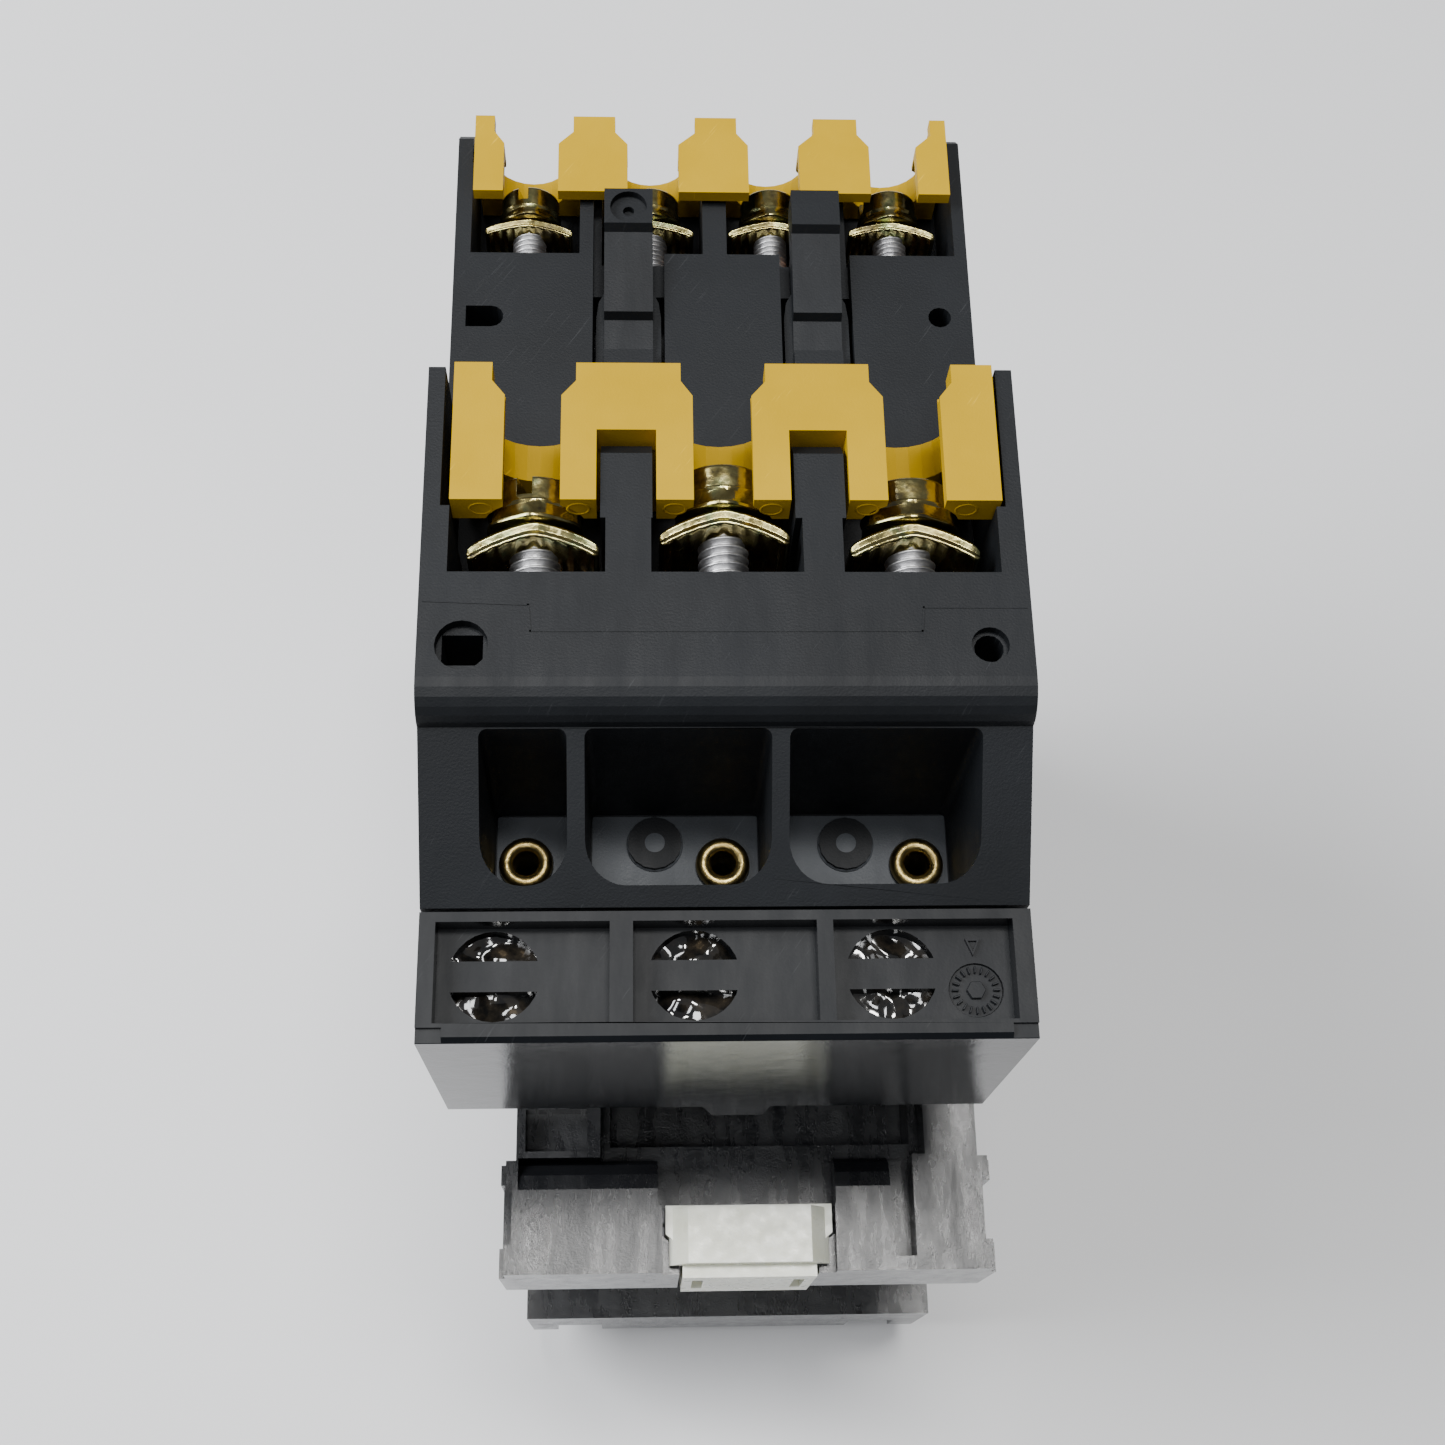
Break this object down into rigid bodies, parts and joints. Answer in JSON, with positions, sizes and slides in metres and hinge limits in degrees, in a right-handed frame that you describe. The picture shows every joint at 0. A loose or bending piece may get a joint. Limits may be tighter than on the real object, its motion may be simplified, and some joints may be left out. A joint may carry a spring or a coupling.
{
  "type": "din rail contactor with overload relay",
  "caption": "Three-phase motor contactor for a 35 mm rail with a plug-on thermal overload relay; screw terminals, coil-driven moving contacts.",
  "frame": {"origin": "centre of the footprint, on the surface that the line end stands on", "axes": "+Z from the line end to the load end, +Y from the rail side to the front, +X to the right seen from the rail side"},
  "size_m": [0.0484, 0.098, 0.1184],
  "materials": {
    "black_plastic": "fine-textured moulded thermoset, satin",
    "black_gloss": "deep black, glossy with mould mottling",
    "yellow_plastic": "ochre polyamide, satin",
    "nylon": "natural translucent polyamide",
    "red_plastic": "satin",
    "blue_plastic": "satin",
    "grey_plastic": "satin",
    "zinc_plate": "yellow passivated zinc, iridescent",
    "brass": "worn",
    "copper_alloy": "bright strip",
    "core_steel": "laminated"
  },
  "bodies": {
    "device": {"rail_base": "black_gloss", "relay_rear_shell": "black_gloss", "contact_housing": "black_plastic", "front_cover": "black_plastic", "relay_housing": "black_plastic", "coil_bobbin": "nylon", "main_guard": "yellow_plastic", "aux_guard": "yellow_plastic", "magnet_yoke": "core_steel", "return_spring": "core_steel", "coil_winding": "copper_alloy", "line_terminal_1": "copper_alloy", "line_terminal_2": "copper_alloy", "line_terminal_3": "copper_alloy", "line_terminal_4": "copper_alloy", "load_terminal_1": "copper_alloy", "load_terminal_2": "copper_alloy", "load_terminal_3": "copper_alloy", "load_terminal_4": "copper_alloy", "heater_strip_1": "copper_alloy", "heater_strip_2": "copper_alloy", "heater_strip_3": "copper_alloy", "nc_contact_strip": "copper_alloy", "no_contact_strip": "copper_alloy", "coil_terminal_a1": "brass", "coil_terminal_a2": "brass", "eyelet_1": "brass", "eyelet_2": "brass", "eyelet_3": "brass"},
    "rail_latch": {"rail_latch": "nylon"},
    "moving_contacts": {"armature": "core_steel", "contact_carrier": "yellow_plastic", "moving_bridge_1": "copper_alloy", "moving_bridge_2": "copper_alloy", "moving_bridge_3": "copper_alloy", "moving_bridge_4": "copper_alloy"},
    "line_screw_1": {"line_screw_1": "zinc_plate"},
    "line_screw_2": {"line_screw_2": "zinc_plate"},
    "line_screw_3": {"line_screw_3": "zinc_plate"},
    "line_screw_4": {"line_screw_4": "zinc_plate"},
    "load_screw_1": {"load_screw_1": "zinc_plate"},
    "load_screw_2": {"load_screw_2": "zinc_plate"},
    "load_screw_3": {"load_screw_3": "zinc_plate"},
    "load_screw_4": {"load_screw_4": "zinc_plate"},
    "main_clamp_1": {"main_clamp_1": "zinc_plate"},
    "main_clamp_2": {"main_clamp_2": "zinc_plate"},
    "main_clamp_3": {"main_clamp_3": "zinc_plate"},
    "main_screw_1": {"main_screw_1": "zinc_plate"},
    "main_screw_2": {"main_screw_2": "zinc_plate"},
    "main_screw_3": {"main_screw_3": "zinc_plate"},
    "aux_screw_1": {"aux_screw_1": "zinc_plate"},
    "aux_screw_2": {"aux_screw_2": "zinc_plate"},
    "aux_screw_3": {"aux_screw_3": "zinc_plate"},
    "aux_screw_4": {"aux_screw_4": "zinc_plate"},
    "snap_hook_1": {"snap_hook_1": "black_plastic"},
    "snap_hook_2": {"snap_hook_2": "black_plastic"},
    "stop_button": {"stop_button": "red_plastic"},
    "reset_button": {"reset_button": "blue_plastic"},
    "current_dial": {"current_dial": "grey_plastic"},
    "trip_bar": {"trip_bar": "nylon"}
  },
  "joints": [
    {"name": "latch_pull", "type": "slide", "parent": "device", "child": "rail_latch", "axis": [0, 0, 1], "range_m": [0, 0.004], "stiffness_N_per_m": 900, "springref_m": -0.001},
    {"name": "contact_closing", "type": "slide", "parent": "device", "child": "moving_contacts", "axis": [0, -1, 0], "range_m": [0, 0.004], "stiffness_N_per_m": 1500, "springref_m": -0.001, "deforming": ["return_spring"]},
    {"name": "line_screw_1_back_out", "type": "slide", "parent": "device", "child": "line_screw_1", "axis": [0, 1, 0], "range_m": [0, 0.0025]},
    {"name": "line_screw_2_back_out", "type": "slide", "parent": "device", "child": "line_screw_2", "axis": [0, 1, 0], "range_m": [0, 0.0025]},
    {"name": "line_screw_3_back_out", "type": "slide", "parent": "device", "child": "line_screw_3", "axis": [0, 1, 0], "range_m": [0, 0.0025]},
    {"name": "line_screw_4_back_out", "type": "slide", "parent": "device", "child": "line_screw_4", "axis": [0, 1, 0], "range_m": [0, 0.0025]},
    {"name": "load_screw_1_back_out", "type": "slide", "parent": "device", "child": "load_screw_1", "axis": [0, 1, 0], "range_m": [0, 0.0025]},
    {"name": "load_screw_2_back_out", "type": "slide", "parent": "device", "child": "load_screw_2", "axis": [0, 1, 0], "range_m": [0, 0.0025]},
    {"name": "load_screw_3_back_out", "type": "slide", "parent": "device", "child": "load_screw_3", "axis": [0, 1, 0], "range_m": [0, 0.0025]},
    {"name": "load_screw_4_back_out", "type": "slide", "parent": "device", "child": "load_screw_4", "axis": [0, 1, 0], "range_m": [0, 0.0025]},
    {"name": "main_clamp_1_lift", "type": "slide", "parent": "device", "child": "main_clamp_1", "axis": [0, 1, 0], "range_m": [-0.0009, 0.0018]},
    {"name": "main_screw_1_turn", "type": "hinge", "parent": "main_clamp_1", "child": "main_screw_1", "pos_m": [-0.01595, 0.00135, 0.114], "axis": [0, 1, 0], "range_deg": [-463.4, 926.2]},
    {"name": "main_clamp_2_lift", "type": "slide", "parent": "device", "child": "main_clamp_2", "axis": [0, 1, 0], "range_m": [-0.002, 0.0007]},
    {"name": "main_screw_2_turn", "type": "hinge", "parent": "main_clamp_2", "child": "main_screw_2", "pos_m": [-0.00165, 0.00135, 0.114], "axis": [0, 1, 0], "range_deg": [-1029.1, 360.5]},
    {"name": "main_clamp_3_lift", "type": "slide", "parent": "device", "child": "main_clamp_3", "axis": [0, 1, 0], "range_m": [-0.0009, 0.0018]},
    {"name": "main_screw_3_turn", "type": "hinge", "parent": "main_clamp_3", "child": "main_screw_3", "pos_m": [0.01265, 0.00135, 0.114], "axis": [0, 1, 0], "range_deg": [-463.4, 926.2]},
    {"name": "aux_screw_1_back_out", "type": "slide", "parent": "device", "child": "aux_screw_1", "axis": [0, 1, 0], "range_m": [0, 0.002]},
    {"name": "aux_screw_2_back_out", "type": "slide", "parent": "device", "child": "aux_screw_2", "axis": [0, 1, 0], "range_m": [0, 0.002]},
    {"name": "aux_screw_3_back_out", "type": "slide", "parent": "device", "child": "aux_screw_3", "axis": [0, 1, 0], "range_m": [0, 0.002]},
    {"name": "aux_screw_4_back_out", "type": "slide", "parent": "device", "child": "aux_screw_4", "axis": [0, 1, 0], "range_m": [0, 0.002]},
    {"name": "snap_hook_1_flex", "type": "hinge", "parent": "device", "child": "snap_hook_1", "pos_m": [-0.00895, 0.01685, 0.1004], "axis": [1, 0, 0], "range_deg": [0, 6], "stiffness_Nm_per_rad": 0.3, "springref_deg": -1.72},
    {"name": "snap_hook_2_flex", "type": "hinge", "parent": "device", "child": "snap_hook_2", "pos_m": [0.00735, 0.01685, 0.1004], "axis": [1, 0, 0], "range_deg": [0, 6], "stiffness_Nm_per_rad": 0.3, "springref_deg": -1.72},
    {"name": "stop_press", "type": "slide", "parent": "device", "child": "stop_button", "axis": [0, -1, 0], "range_m": [0, 0.0015], "stiffness_N_per_m": 700, "springref_m": -0.0005},
    {"name": "reset_press", "type": "slide", "parent": "device", "child": "reset_button", "axis": [0, -1, 0], "range_m": [0, 0.0015], "stiffness_N_per_m": 700, "springref_m": -0.0005},
    {"name": "dial_turn", "type": "hinge", "parent": "device", "child": "current_dial", "pos_m": [-0.01015, 0.04335, 0.087], "axis": [0, 1, 0], "range_deg": [-135, 135]},
    {"name": "trip_bar_shift", "type": "slide", "parent": "device", "child": "trip_bar", "axis": [1, 0, 0], "range_m": [0, 0.002], "stiffness_N_per_m": 250, "springref_m": -0.0005}
  ],
  "couplings": [
    {"joint": "main_screw_1_turn", "follows": "main_clamp_1_lift", "rad_per_m": 8976},
    {"joint": "main_screw_2_turn", "follows": "main_clamp_2_lift", "rad_per_m": 8976},
    {"joint": "main_screw_3_turn", "follows": "main_clamp_3_lift", "rad_per_m": 8976}
  ]
}
